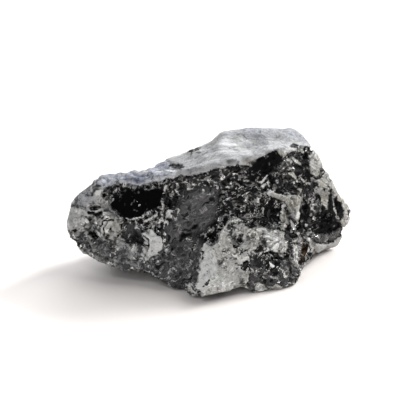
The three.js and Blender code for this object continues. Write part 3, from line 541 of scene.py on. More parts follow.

# Thin marks, laid over the patches. width is in steps of the view, broken is how much of
# the line is lost in its gaps, and ragged how far its edges wander. The short bright lines,
# with pale of 0.9 or more, are painted highlights: glints put into the colour. ridge is
# partly one too, on a raised ridge.
lines = {
    "ridge": dict(dark=0.0, pale=0.6, lift=0.3, width=1.2, broken=0.85, tan=0.15, ragged=1.6, fleckAndGlint=1.0,
        path=[(168, 186), (165, 188), (164, 195), (161, 200), (163, 206), (162, 212), (164, 222),
            (165, 228)]),
    "fingerGap": dict(dark=0.0, pale=0.3, tan=0.3, width=1.3, ragged=0.4,
        path=[(334, 193), (333.4, 202), (334.6, 210), (336.7, 216.5), (339, 221)]),
    "ringStroke": dict(dark=-0.2, pale=0.6, tan=0.3, width=0.9,
        path=[(311.5, 208.5), (313, 205), (316, 203.5), (317.5, 206)]),
    "fragmentHole": dict(dark=1.4, smoky=0.0, width=1.5, lift=-0.15,
        path=[(168.2, 219.2), (168.8, 220)]),
    "fragmentNotch": dict(dark=1.3, smoky=0.0, width=1.2, path=[(172, 212.8), (172.6, 214)]),
    "underLine": dict(dark=0.1, pale=0.5, lift=0.15, width=1.4, broken=0.85,
        path=[(137, 268), (152, 273), (160, 278), (171, 280)]),
    "planeVein": dict(dark=0.2, pale=0.45, lift=0.1, width=0.9, broken=0.85,
        path=[(165, 256), (168, 246), (171, 242), (177, 240)]),
    "paleVein": dict(dark=0.1, pale=0.5, lift=0.1, width=0.9, broken=0.85,
        path=[(180, 277), (190, 274)]),
    "streakGlint": dict(dark=-0.5, pale=1.7, lift=0.15, width=1.1,
        path=[(267.5, 175.5), (264, 179), (261, 182.5)]),
    "wedgeTip": dict(dark=-0.5, pale=1.0, tan=0.1, lift=0.1, width=1.0,
        path=[(275, 191), (270, 191.5), (268, 193.5)]),
    "middleGlint": dict(dark=-0.5, pale=2.0, lift=0.1, width=1.5,
        path=[(283.5, 205), (282.7, 208), (282.5, 211.5)]),
    "wedgeGlint": paintedGlint(1.8, 0.9, (298.6, 213), (298.4, 218)),
    "columnGlint": paintedGlint(1.8, 1.0, (291.5, 221.5), (292.8, 225.5)),
    "massGlint": paintedGlint(1.5, 1.6, (306, 224.6), (307, 225)),
    "topGlint": paintedGlint(1.8, 1.4, (301.6, 150.4), (302.2, 151)),
    "shoulderGlint": paintedGlint(1.4, 1.3, (308, 183.5), (310, 183.5)),
    "creamGlint": dict(dark=-0.5, pale=1.1, tan=0.4, width=0.5, path=[(263, 208), (263.6, 214)]),
    "grainGlint": paintedGlint(1.2, 0.5, (257.6, 187), (258.6, 190)),
    "grainGlintLow": dict(dark=-0.3, pale=1.0, width=0.5, path=[(257.4, 198), (258.4, 203)]),
    "pitGlint": paintedGlint(2.0, 1.4, (231.3, 239), (233, 242), (236, 244)),
    "lowGlint": paintedGlint(2.0, 1.2, (269.3, 262), (270.6, 264), (272, 266)),
    "swirlGlint": dict(dark=-0.3, pale=1.2, width=0.9, path=[(268, 250), (270, 244), (276, 240)]),
    "swirlGlintLow": dict(dark=-0.3, pale=1.1, width=0.9, path=[(273, 249), (276, 245), (281, 243)]),
    "rimStroke": dict(dark=-0.5, pale=1.1, lift=0.15, width=0.9, broken=0.85, fleckAndGlint=1.0,
        path=[(128, 219.5), (134, 218.5), (141, 217.5), (147, 213.5), (152, 211)]),
    "rimStrokeMiddle": dict(dark=-0.3, pale=1.0, width=1.0, broken=0.85, fleckAndGlint=1.0,
        path=[(149, 220), (154, 216.5), (158, 213)]),
    "rimStrokeLow": dict(dark=-0.5, pale=1.1, width=1.0, broken=0.85, fleckAndGlint=1.0,
        path=[(152, 227), (156, 224.5), (160, 221.5)]),
    "pebbleGlint": paintedGlint(1.6, 1.0, (136, 227.3), (139.4, 228.6)),
    "pebbleGlintHigh": paintedGlint(1.3, 1.2, (145, 221.5), (146.5, 220.4)),
    "clusterGlint": paintedGlint(1.8, 1.3, (92.3, 228.4), (92.8, 230.4)),
    "clusterGlintLow": paintedGlint(1.5, 1.3, (95.4, 231), (96.6, 233), (98.6, 235)),
    "capGlint": dict(dark=-0.5, pale=1.3, width=0.8, broken=0.85,
        path=[(112, 196), (115, 191.5), (119, 189.7)]),
    "capLoop": dict(dark=-0.3, pale=1.1, width=0.8, broken=0.85,
        path=[(104, 193.5), (107, 193), (108, 196), (105, 197)]),
    "greenGlint": dict(pale=1.1, dark=-0.3, width=1.4, path=[(105.6, 212), (108, 214.4)]),
    "gashLip": dict(dark=-0.3, pale=0.75, tan=0.3, width=0.9, path=[(90, 211), (95, 212), (101, 210)]),
    "lowerGash": dict(dark=1.5, smoky=0.0, width=1.4, lift=-0.25,
        path=[(89.5, 212.4), (94, 213.4), (96.6, 215.6), (100, 213.6), (101.5, 212)]),
    "lobeCreaseGlint": dict(dark=-0.2, pale=1.0, lift=0.1, width=0.9,
        path=[(207, 262), (212, 266), (216.5, 271)]),
    "lobeRimDots": dict(dark=1.0, smoky=0.1, rust=0.3, width=0.9, path=[(202.6, 251), (203, 254)]),
    "rustCore": dict(rust=1.0, dark=0.9, width=2.0, path=[(304, 251), (303.4, 258)]),
    "creamFleck": dict(dark=-0.3, pale=0.75, tan=0.6, width=0.8, path=[(188, 189), (192, 189)]),
    "creamDot": dict(dark=-0.3, pale=0.8, tan=0.6, width=0.7, path=[(199.6, 210), (200.4, 212)]),
    "creamHook": dict(dark=-0.1, pale=0.5, tan=0.2, width=0.4, path=[(207, 194.5), (210, 193)]),
    "bandFleck": dict(dark=-0.2, pale=0.55, tan=0.2, width=0.8, path=[(208, 181), (211, 186)]),
    "bandGlint": dict(dark=-0.3, pale=0.9, width=1.4, path=[(245, 171.6), (245.6, 171.8)]),
    "creamGrain": dict(dark=-0.3, pale=0.75, tan=0.6, width=0.8, path=[(244, 180.6), (248, 181)]),
    "facetDot": dict(dark=-0.3, pale=0.9, width=0.7, path=[(137, 201.4), (137.4, 201.8)]),
    "facetDotLow": dict(dark=-0.3, pale=0.7, width=0.6, path=[(139.4, 205), (139.6, 205.4)]),
    "creamBead": dict(dark=-0.3, pale=0.85, tan=0.7, width=1.5, broken=0.4,
        path=[(134, 187), (143, 187)]),
    "swirlOuter": dict(hairline, path=[(101, 226), (103, 221), (108, 219)]),
    "swirlMiddle": dict(hairline, path=[(104, 236), (104, 228), (108, 222), (113, 219)]),
    "swirlInner": dict(hairline, dark=1.2, width=0.6, path=[(107, 238), (109, 232), (111, 227.5)]),
    "swirlEdge": dict(hairline, dark=1.0, smoky=0.2, path=[(121, 224), (121.5, 230), (118, 237)]),
    "swirlLight": dict(dark=-0.2, pale=0.85, tan=0.5, width=1.2,
        path=[(113, 228), (116, 231), (114, 235), (111, 236)]),
    "swirlPale": dict(dark=-0.2, pale=0.8, tan=0.3, width=1.0,
        path=[(106, 228), (108, 224), (112, 221.5)]),
    "lobeShadow": dict(dark=1.4, width=1.6, lift=-0.35, smoky=0.0, gloss=0.7, streak=0.0,
        path=[(206, 240), (213, 235), (221, 227), (227, 219)]),
    "yellowDot": dict(dark=0.9, rust=0.5, width=1.4, path=[(202.8, 257), (203.2, 259.4)]),
    "lobeFootMark": dict(dark=1.2, width=1.3, path=[(207.6, 281), (207, 285)]),
    "lobeFootDot": dict(dark=1.0, width=1.0, path=[(203, 286.4), (204, 286.4)]),
}

fieldNames = [
    "dark", "pale", "blue", "tan", "rust", "fleckAndGlint", "matteSheen", "gloss", "smoky", "milky",
    "crystal", "grain", "ripple", "streak",
]
nearDefaults = dict(dark=0.62, pale=0.42, fleckAndGlint=0.15, smoky=0.2, crystal=0.8)  # under the patches
awayLooks = {  # the sides that no outline reaches; sizes in mm
    "massSize": 9.0,  # masses of hornblende
    "massShape": (0.8, 1.0, 1.3),
    "toneSize": 6.0,
    "tanSize": 7.0,
    "fleckSize": 5.0,
}


def awayFields(points, normals):  # masses and veins of hornblende in grey and pale feldspar
    a = awayLooks
    mass = evenly(roughNoise(points * a["massShape"], a["massSize"], 71))
    tone = evenly(roughNoise(points, a["toneSize"], 72))
    stained = evenly(softNoise(points, a["tanSize"], 73))
    flecked = evenly(softNoise(points, a["fleckSize"], 74))
    upward = eased(normals[:, 2], 0.35, 0.8)  # the pale top face goes on over the edge
    return dict(
        dark=(0.18 + 0.88 * eased(mass, 0.38, 0.6)) * (1 - 0.9 * upward),
        pale=0.1 + 0.3 * tone + 0.15 * upward,
        blue=0.15 + 0.35 * upward,
        tan=0.35 * eased(stained, 0.55, 0.9),
        fleckAndGlint=0.03 + 0.22 * eased(flecked, 0.4, 0.8),
        matteSheen=0.8 * eased(mass, 0.75, 0.85),
        grain=0.4 * (1 - eased(mass, 0.3, 0.5)),
        smoky=0.6 + 1.2 * tone,
        milky=0.15 + 0.5 * upward,
        crystal=0.8, streak=0.3, rust=0.0, gloss=0.0, ripple=0.0, lift=0.0,
    )


def noiseOf(points, kind, seed):
    return edgeLooks[kind]["reach"] * softNoise(points, edgeLooks[kind]["size"], seed)


def mineralsAt(points, normals):
    fields = {name: np.full(len(points), nearDefaults.get(name, 0.0)) for name in fieldNames + ["lift"]}
    at = stepsOf(points)
    for axis in (0, 1):
        at[:, axis] += noiseOf(points, "wander", 31 + axis) + noiseOf(points, "fineWander", 33 + axis)
    ragged = noiseOf(points, "ragged", 35) + noiseOf(points, "fineRagged", 36)
    gaps = softNoise(points, edgeLooks["gapSize"], 37)
    broken = eased(gaps, -edgeLooks["gapEdge"], edgeLooks["gapEdge"])
    for looks in [*patches.values(), *lines.values()]:
        share = shareOf(looks, at, ragged, broken)
        for name in fieldNames:
            if name in looks:
                fields[name] += share * (looks[name] - fields[name])
        fields["lift"] += share * looks.get("lift", 0)
    near = eased(normals @ wayBack, -0.3, 0.0)  # 1 where the surface faces the eye
    for name, away in awayFields(points, normals).items():
        fields[name] = near * fields[name] + (1 - near) * away
    return fields


mixLooks = {  # how hornblende and feldspar grow through each other; sizes in mm
    "bend": dict(reach=0.9, size=1.9),
    "blotch": dict(size=1.5, octaves=5, fade=0.78),
    "cloud": dict(size=3.5, share=0.3),
    "strand": dict(size=0.9, octaves=4, fade=0.7),
    "strandWay": (0.8, 0.6),  # along and up
    "strandSqueeze": (0.3, 0.8, 1.4),
    "fewestStrands": 0.25,  # their share where streak is 0
    "mostStrands": 0.8,  # and what that share counts for
    "beyond": 0.02,  # so that dark 0 is wholly pale and dark 1 wholly dark
}


def roughOf(points, looks, seed):
    return roughNoise(points, looks["size"], seed, looks["octaves"], looks["fade"])


def darknessOf(points, fields):  # over 0 where the mineral is hornblende
    m = mixLooks
    twisted = bent(points, m["bend"]["reach"], m["bend"]["size"], 54)
    cloud = m["cloud"]["share"] * softNoise(points, m["cloud"]["size"], 52)
    blotches = evenly(roughOf(twisted, m["blotch"], 51) + cloud)
    strands = evenly(roughOf(drawnAlong(twisted, m["strandWay"], m["strandSqueeze"]), m["strand"], 53))
    share = m["fewestStrands"] + (1 - m["fewestStrands"]) * fields["streak"]
    mixed = evenly(blotches + share * (strands - blotches) * m["mostStrands"])
    return fields["dark"] * (1 + 2 * m["beyond"]) - m["beyond"] - mixed


reliefLooks = {  # sizes and heights in mm; bend is how far and over what size each is carried about
    "plates": dict(size=4.2, slant=0.2, bowl=0.1, height=0.9, bend=(0.5, 2.5)),  # broad faces
    "faces": dict(size=1.7, slant=0.4, bowl=0.12, height=0.8, bend=(1.1, 2.8)),  # crystal faces
    "chips": dict(size=0.75, slant=0.6, bowl=0.15, height=1.0, bend=(0.2, 0.8)),  # chips on those
    "treads": dict(size=2.2, count=4, riser=0.22, height=0.5),
    "swirls": dict(size=2.6, height=0.1, everywhere=0.03),  # curved crests
    "fibres": dict(size=1.1, height=0.12, bend=(0.7, 2.0)),
    "swell": dict(size=2.4, height=0.1),
    "grain": dict(size=0.6, height=0.07, crestSize=1.4, crestHeight=0.14),
    "ripple": dict(way=(0.25, 0.45, 1.0), turns=4.6, height=0.17, drift=0.6, driftSize=2.5, fadeSize=1.6),
    "streak": dict(way=(0.7, 0.2, 1.0), turns=9, height=0.05, drift=3, driftSize=1.2),
    "fibreWay": (0.82, 0.57),  # along and up
    "fibreSqueeze": (0.45, 0.9, 1.25),
    "sunk": 0.12,  # how far black lies below pale
    "liftShare": 0.9,
}


def reliefOf(points, fields, darkness):
    r = reliefLooks
    isDark = eased(darkness, -0.05, 0.1)
    crystal = fields["crystal"]
    swirled = bent(points, *r["faces"]["bend"], 80)
    flowing = bent(points, *r["fibres"]["bend"], 76)
    flowing = drawnAlong(flowing, r["fibreWay"], r["fibreSqueeze"])
    plates, _ = facets(bent(points, *r["plates"]["bend"], 84), r["plates"], 5)
    faces, tone = facets(swirled, r["faces"], 6)
    chips, fineTone = facets(bent(points, *r["chips"]["bend"], 88), r["chips"], 7)
    fields["tone"] = 0.55 * tone + 0.45 * fineTone
    relief = r["plates"]["height"] * plates * (0.1 + 0.9 * crystal)
    relief += r["faces"]["height"] * faces * (0.05 + 0.95 * crystal)
    relief += r["chips"]["height"] * chips * crystal * (0.4 + 0.6 * isDark)
    relief += r["treads"]["height"] * crystal * treads(flowing, r["treads"], 58)
    swirls = r["swirls"]["everywhere"] + r["swirls"]["height"] * crystal
    relief += swirls * crests(swirled, r["swirls"]["size"], 66)
    relief += r["fibres"]["height"] * crystal * crests(flowing, r["fibres"]["size"], 67)
    relief += r["swell"]["height"] * roughNoise(points, r["swell"]["size"], 61)
    g = r["grain"]
    grain = g["height"] * roughNoise(points, g["size"], 62, 2)
    relief += fields["grain"] * (grain + g["crestHeight"] * crests(swirled, g["crestSize"], 68, 2))
    w = r["ripple"]
    drift = w["drift"] * softNoise(points, w["driftSize"], 63)
    wave = (points @ np.array(w["way"]) + drift) * w["turns"]
    fade = 0.6 + 0.4 * softNoise(points, w["fadeSize"], 64)
    relief += fields["ripple"] * (w["height"] * np.sin(wave) * fade)
    w = r["streak"]
    drift = w["drift"] * softNoise(points, w["driftSize"], 65)
    wave = points @ np.array(w["way"]) * w["turns"] + drift
    relief += fields["streak"] * w["height"] * np.sin(wave)
    relief += r["liftShare"] * fields["lift"] - r["sunk"] * isDark * (1 - fields["matteSheen"])
    return relief


stoneLooks = {
    "remesh": 0.16,  # mm between the points that the relief is worked out on
    "evening": 14,  # how often the facets of the CAD mesh are evened out
    "denseEvening": 6,  # the same for the directions of the dense mesh
    "keptEvening": 10,  # and of the one that is kept
    "keptFaces": 190000,  # triangles left at the end
    "hollowReach": 10,  # how many edges away the neighbours are that the painted shade is judged against
    "hollowDepth": 0.12,  # mm below what is around it at which a point gets the darkest painted shade
    "inset": 0.3,  # mm that the relief's middle lies inside the CAD shape
    # where the outline is eased out or in: column and row of the view, reach in steps, mm
    "easedAt": [
        (204, 295, 9, 0.4), (74, 232, 12, 0.5), (79, 197, 9, 0.45), (112, 266, 16, 0.5),
        (140, 272, 12, 0.2), (172, 287, 14, 0.45), (196, 296, 9, 0.4), (256, 290, 12, -0.55),
        (232, 134, 14, -0.3), (207, 144, 12, -0.4), (278, 128, 18, -0.3), (307, 140, 16, -0.35),
    ],
    "raisedFoot": (215, 299, 17, 1.5),  # the same for the front of the foot, which hangs above the table
    "footForward": 0.5,  # mm that it comes forward for each mm that it is raised
    "footDepth": 0.6,  # mm above the table where the relief has faded out
}
layerNames = [  # what the material reads from the points
    "darkness", "tone", "hollow", "smoky", "milky", "streak",
    "pale", "blue", "tan", "rust", "fleckAndGlint", "matteSheen", "gloss",
]


def denseCopy(node):  # the CAD node's shape in mm, in small even faces
    mesh = node.data.copy()
    mesh.materials.clear()
    build = bmesh.new()
    build.from_mesh(mesh)
    bmesh.ops.remove_doubles(build, verts=build.verts, dist=1e-7)
    bmesh.ops.scale(build, vec=(1 / mm,) * 3, verts=build.verts)
    build.to_mesh(mesh)
    build.free()
    stone = bpy.data.objects.new("labradorite", mesh)
    bpy.context.scene.collection.objects.link(stone)
    remesh = stone.modifiers.new("dense", "REMESH")
    remesh.mode = "VOXEL"
    remesh.voxel_size = stoneLooks["remesh"]
    bakeModifiers(stone)
    return stone


def bakeModifiers(stone):
    graph = bpy.context.evaluated_depsgraph_get()
    baked = bpy.data.meshes.new_from_object(stone.evaluated_get(graph))
    stone.modifiers.clear()
    stone.data = baked


def rowsOf(items, name, width=3, kind=np.float64):  # one row of numbers for each point or edge
    rows = np.empty(len(items) * width, kind)
    items.foreach_get(name, rows)
    return rows.reshape(-1, width)


def edgesOf(mesh):
    return rowsOf(mesh.edges, "vertices", 2, np.int64)


def setPoints(mesh, points):
    mesh.vertices.foreach_set("co", points.astype(np.float32).ravel())
    mesh.update()


def evenOut(values, edges, times):  # each point drifts half way to its neighbours' middle
    a, b = edges.T
    size = len(values)
    count = np.bincount(a, minlength=size) + np.bincount(b, minlength=size)
    values = values.copy()
    for _ in range(times):
        for axis in range(values.shape[1]):
            column = values[:, axis]
            total = np.bincount(a, column[b], size) + np.bincount(b, column[a], size)
            values[:, axis] = column + 0.5 * (total / count - column)
    return values


def directionsOf(mesh, edges, times):  # evened out, so that small bumps don't turn them
    normals = evenOut(rowsOf(mesh.vertices, "normal"), edges, times)
    return normals / np.linalg.norm(normals, axis=1, keepdims=True)


def distanceTo(at, column, row, reach):  # squared, from 0 at a place in the view to 1 at its reach
    return ((at[:, 0] - column) ** 2 + (at[:, 1] - row) ** 2) / reach**2


def layRelief(mesh):
    edges = edgesOf(mesh)
    points = evenOut(rowsOf(mesh.vertices, "co"), edges, stoneLooks["evening"])
    points[:, 2] = np.maximum(points[:, 2], 0)
    setPoints(mesh, points)
    normals = directionsOf(mesh, edges, stoneLooks["denseEvening"])
    fields = mineralsAt(points, normals)
    relief = reliefOf(points, fields, darknessOf(points, fields))
    relief -= np.median(relief) + stoneLooks["inset"]
    at = stepsOf(points)
    for *place, push in stoneLooks["easedAt"]:
        relief += push * np.exp(-distanceTo(at, *place))
    *place, raised = stoneLooks["raisedFoot"]
    lifted = raised * np.exp(-(distanceTo(at, *place) ** 2))
    foot = eased(points[:, 2], 0.0, stoneLooks["footDepth"])
    points = points + normals * (relief * foot)[:, None]
    points[:, 2] = np.maximum(points[:, 2], 0) + lifted
    points[:, 1] -= stoneLooks["footForward"] * lifted
    setPoints(mesh, points)
    print("relief: from", round(relief.min(), 2), "to", round(relief.max(), 2), "mm")


def storeMinerals(mesh):  # as numbers on the points
    points, edges = rowsOf(mesh.vertices, "co"), edgesOf(mesh)
    fields = mineralsAt(points, directionsOf(mesh, edges, stoneLooks["keptEvening"]))
    fields["darkness"] = darknessOf(points, fields)
    relief = reliefOf(points, fields, fields["darkness"])
    # painted shade: where the relief lies below its neighbours the colour is darkened, where it stands
    # above them lightened
    hollow = evenOut(relief[:, None], edges, stoneLooks["hollowReach"])[:, 0] - relief
    fields["hollow"] = np.clip(hollow / stoneLooks["hollowDepth"], -1, 1)
    for name in layerNames:
        layer = mesh.attributes.new(name, "FLOAT", "POINT")
        layer.data.foreach_set("value", fields[name].astype(np.float32))


def makeStone():
    stone = denseCopy(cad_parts["raw_stone"])
    mesh = stone.data
    print("dense mesh:", len(mesh.vertices), "points")
    layRelief(mesh)
    mesh.calc_loop_triangles()
    thin = stone.modifiers.new("thin", "DECIMATE")
    thin.ratio = min(1.0, stoneLooks["keptFaces"] / len(mesh.loop_triangles))
    bakeModifiers(stone)
    mesh = stone.data
    storeMinerals(mesh)
    setPoints(mesh, rowsOf(mesh.vertices, "co") * mm)
    mesh.calc_loop_triangles()
    mesh.shade_flat()
    print("stone:", len(mesh.loop_triangles), "triangles")
    return stone


stoneFinish = {
    "greyFeldspar": (0.075, 0.078, 0.08),
    "whiteFeldspar": (0.74, 0.745, 0.745),
    "blueSheen": (0.14, 0.18, 0.33),
    "darkTan": (0.16, 0.148, 0.11),
    "paleTan": (0.5, 0.475, 0.375),
    "rust": (0.16, 0.075, 0.02),
    "hornblende": (0.0025, 0.0025, 0.0028),
    # grey of dull cleavage faces and flakes in hornblende: a painted sheen
    "darkCleavageSheen": (0.035, 0.035, 0.036),
    "greyCleavageSheen": (0.16, 0.16, 0.163),
    # pale fibres, and the curved strands that are painted glints
    "fibreAndGlint": (0.6, 0.6, 0.6),
    # white of the painted glints; over hornblende it is also the colour of a metallic reflection
    "fleckAndGlint": (0.88, 0.88, 0.86),
    # sizes of the marks, all in mm
    "broad": 2.4,
    "patch": 1.2,
    "fine": 0.6,
    "finest": 0.2,
    "line": 1.3,  # thin veins and crests
    "curl": 1.0,  # long curved strands
    "hair": 0.42,  # fibres side by side
    "grain": 0.3,
    "flake": 0.85,
    "littleFlake": 0.38,
    "glintGrain": 0.34,
    "drift": 2.6,  # how slowly the marks are carried about
    "swirlReach": 4.5,  # how far they are carried
    "waveReach": 2.0,  # and how far the fibres are
    "bump": 0.25,  # height of the finest relief
}


class Tree:  # short words for building a material
    def __init__(self, name):
        self.material = bpy.data.materials.new(name)
        self.material.use_nodes = True
        self.nodes = self.material.node_tree.nodes
        self.links = self.material.node_tree.links
        self.nodes.clear()

    def node(self, kind, **settings):
        made = self.nodes.new(kind)
        for name, value in settings.items():
            setattr(made, name, value)
        return made

    def feed(self, socket, value):
        if isinstance(value, bpy.types.NodeSocket):
            self.links.new(value, socket)
        elif value is not None:
            socket.default_value = value

    def math(self, operation, a, b=None, c=None, clamp=False):
        made = self.node("ShaderNodeMath", operation=operation, use_clamp=clamp)
        for socket, value in zip(made.inputs, (a, b, c)):
            self.feed(socket, value)
        return made.outputs[0]

    def mix(self, share, a, b):
        made = self.node("ShaderNodeMix", data_type="RGBA")
        for socket, value in zip((made.inputs[0], made.inputs[6], made.inputs[7]), (share, a, b)):
            self.feed(socket, (*value, 1) if isinstance(value, tuple) else value)
        return made.outputs[2]

    def ramp(self, value, low, high, start=0.0, end=1.0):
        made = self.node("ShaderNodeMapRange", interpolation_type="SMOOTHSTEP")
        for socket, number in zip(made.inputs, (value, low, high, start, end)):
            self.feed(socket, number)
        return made.outputs[0]

    def layer(self, name):
        return self.node("ShaderNodeAttribute", attribute_name=name).outputs["Fac"]

    def vector(self, operation, a, b=None):
        made = self.node("ShaderNodeVectorMath", operation=operation)
        self.feed(made.inputs[0], a)
        self.feed(made.inputs["Scale"] if operation == "SCALE" else made.inputs[1], b)
        return made.outputs[0]

    def noise(self, place, size, detail=3.0, rough=0.55, output="Fac"):  # size in mm
        made = self.node("ShaderNodeTexNoise")
        self.feed(made.inputs["Vector"], place)
        self.feed(made.inputs["Scale"], 1 / (size * mm))
        self.feed(made.inputs["Detail"], detail)
        self.feed(made.inputs["Roughness"], rough)
        return made.outputs[output]

    def cells(self, place, size, feature="F1"):  # size in mm
        made = self.node("ShaderNodeTexVoronoi", feature=feature)
        self.feed(made.inputs["Vector"], place)
        self.feed(made.inputs["Scale"], 1 / (size * mm))
        return made.outputs

    def drawnOut(self, place, turn, lengths):  # turned in degrees about y and stretched
        made = self.node("ShaderNodeMapping", vector_type="TEXTURE")
        self.feed(made.inputs["Vector"], place)
        self.feed(made.inputs["Rotation"], (0, -math.radians(turn), 0))
        self.feed(made.inputs["Scale"], lengths)
        return made.outputs[0]

    def split(self, colour):
        made = self.node("ShaderNodeSeparateColor")
        self.feed(made.inputs[0], colour)
        return made.outputs

    def sum(self, start, *parts):  # each part is a value, what is taken from it and what it counts for
        total = start
        for value, middle, weight in parts:
            total = self.math("MULTIPLY_ADD", self.math("SUBTRACT", value, middle), weight, total)
        return total

    def fromMiddle(self, value):  # 0 along the lines where a noise crosses its middle
        return self.math("ABSOLUTE", self.math("SUBTRACT", value, 0.5))


def marksOf(t):  # the textures that all the marks on the stone are mixed from
    f = stoneFinish
    place = t.node("ShaderNodeTexCoord").outputs["Object"]
    drift = t.vector("SUBTRACT", t.noise(place, f["drift"], 1, 0.4, "Color"), (0.5, 0.5, 0.5))
    swirled = t.vector("ADD", place, t.vector("SCALE", drift, f["swirlReach"] * mm))
    wavy = t.vector("ADD", place, t.vector("SCALE", drift, f["waveReach"] * mm))
    flow = t.drawnOut(swirled, 35, (2, 1.1, 0.8))  # along the stone's fibres
    flakes = t.cells(flow, f["flake"])
    return SimpleNamespace(
        broad=t.noise(place, f["broad"], 4, 0.6),
        patch=t.noise(place, f["patch"], 1, 0.5),
        fine=t.noise(swirled, f["fine"], 4, 0.62),
        finest=t.noise(place, f["finest"], 3, 0.6),
        line=t.fromMiddle(t.noise(flow, f["line"], 2, 0.5)),
        curl=t.fromMiddle(t.noise(t.drawnOut(swirled, 30, (3, 1, 1)), f["curl"], 0, 0.5)),
        hair=t.noise(t.drawnOut(wavy, 16, (7, 1, 1)), f["hair"], 1, 0.5),
        grain=t.noise(t.drawnOut(wavy, 48, (6, 1, 1)), f["grain"], 2, 0.6),
        lean=t.vector("SUBTRACT", flakes["Color"], (0.5, 0.5, 0.5)),
        chance=t.split(flakes["Color"]),  # three draws for each flake
        little=t.split(t.cells(flow, f["littleFlake"])["Color"]),
        border=t.cells(flow, f["flake"], "DISTANCE_TO_EDGE")["Distance"],
        bright=t.cells(place, f["glintGrain"]),
        calm=t.ramp(t.layer("milky"), 0.0, 1.0, 1.0, 0.25),
    )


def hornblendeShare(t, marks):  # and what it comes from, which is over nought in hornblende
    frayed = t.sum(
        t.layer("darkness"),
        (marks.fine, 0.5, 0.55), (marks.finest, 0.5, 0.25), (marks.chance[0], 0.5, 0.12),
    )
    smoky = t.math("MULTIPLY_ADD", t.layer("smoky"), 0.45, 0.04)  # how far it shows through feldspar
    return t.ramp(t.math("DIVIDE", frayed, smoky), -1.0, 0.8), frayed


def feldsparColour(t, marks, frayed):
    f = stoneFinish
    mottleAndShade = t.sum(
        0.0,
        (marks.fine, 0.5, 0.9), (marks.broad, 0.5, 0.7), (marks.finest, 0.5, 0.5),
        (marks.chance[1], 0.5, 0.3), (marks.little[0], 0.5, 0.14),
        # painted shade in the relief's hollows, and painted light on its ridges
        (t.layer("tone"), 0.5, 0.3), (t.layer("hollow"), 0.0, -0.3),
    )
    vein = t.math("MULTIPLY", t.ramp(marks.line, 0.03, 0.008), t.ramp(marks.patch, 0.44, 0.52))
    # painted sheen: bright curved lines lightened into the feldspar
    sheen = t.math("MULTIPLY", t.ramp(marks.curl, 0.03, 0.01), t.ramp(marks.patch, 0.45, 0.6))
    veinsShadeAndSheen = t.sum(mottleAndShade, (vein, 0.0, -0.6), (sheen, 0.0, 0.4))
    pale = t.math("MULTIPLY_ADD", veinsShadeAndSheen, marks.calm, t.layer("pale"))
    pale = t.math("SUBTRACT", pale, t.ramp(frayed, -0.35, 0.0, 0.0, 0.22), clamp=True)
    mostlyPale = t.math("MULTIPLY", pale, 0.8)
    feldspar = t.mix(pale, f["greyFeldspar"], f["whiteFeldspar"])
    blue = t.math("MULTIPLY", t.layer("blue"), t.ramp(marks.broad, 0.3, 0.6, 0.4, 1.0))
    tinged = t.mix(mostlyPale, f["blueSheen"], feldspar)
    feldspar = t.mix(t.math("MULTIPLY", blue, 0.7), feldspar, tinged)
    stain = t.math("MULTIPLY", t.layer("tan"), t.ramp(marks.broad, 0.3, 0.62), clamp=True)
    tan = t.mix(mostlyPale, f["darkTan"], f["paleTan"])
    return t.mix(t.math("MULTIPLY", stain, 0.75), feldspar, tan)


def matteSheenShare(t, marks):  # wide cleavage faces, dull, with a grey that is a painted sheen
    matteSheen = t.math("MULTIPLY", t.layer("matteSheen"), t.ramp(marks.broad, 0.2, 0.45))
    return t.math("MULTIPLY", matteSheen, t.ramp(marks.chance[2], 0.05, 0.2), clamp=True)


def hornblendeColour(t, marks, matteSheen):  # black, with grey flakes and faces whose grey is a painted sheen, and pale fibres in it
    f = stoneFinish
    # painted glints: the curved strands; the hairs are pale fibres
    strand = t.math("MAXIMUM", t.ramp(marks.curl, 0.038, 0.012), t.ramp(marks.hair, 0.58, 0.66, 0.0, 0.55))
    fibres = t.math("MULTIPLY", strand, t.ramp(marks.patch, 0.42, 0.52))
    greyness = t.sum(0.5, (marks.grain, 0.5, 2.2), (marks.fine, 0.5, 0.8))
    grey = t.mix(greyness, f["darkCleavageSheen"], f["greyCleavageSheen"])
    flakes = t.ramp(marks.chance[0], 0.72, 0.98, 0.0, 0.42)
    flakes = t.math("MAXIMUM", flakes, t.ramp(marks.little[1], 0.8, 1.0, 0.0, 0.4))
    flakes = t.math("MULTIPLY", flakes, t.ramp(t.layer("gloss"), 0.0, 1.0, 1.0, 0.0))
    black = t.mix(t.math("MAXIMUM", matteSheen, flakes), f["hornblende"], grey)
    return t.mix(t.math("MULTIPLY", t.layer("streak"), fibres, clamp=True), black, f["fibreAndGlint"])


def glintShare(t, marks):  # painted glints: bright edges of flakes and single bright grains, white in the colour; over hornblende they are also metallic, so there they shine by reflection
    reach = t.math("MULTIPLY_ADD", t.layer("fleckAndGlint"), -0.14, 0.6)
    lit = t.ramp(t.math("SUBTRACT", marks.patch, reach), 0.0, 0.05)
    edges = t.math("MULTIPLY", t.ramp(marks.border, 0.12, 0.06), t.ramp(marks.chance[1], 0.45, 0.8))
    strokes = t.math("MULTIPLY", t.math("MAXIMUM", edges, t.ramp(marks.line, 0.028, 0.014)), lit)
    strokes = t.math("MULTIPLY", strokes, t.ramp(t.layer("fleckAndGlint"), 0.0, 0.06))
    chance = t.split(marks.bright["Color"])
    chosen = t.math("LESS_THAN", chance[0], t.math("MULTIPLY", t.layer("fleckAndGlint"), 0.1))
    grains = t.math("MULTIPLY", chosen, t.ramp(marks.bright["Distance"], 0.5, 0.3))
    grains = t.math("MULTIPLY", grains, t.ramp(chance[1], 0.0, 1.0, 0.3, 1.0))
    return t.math("MAXIMUM", grains, strokes)


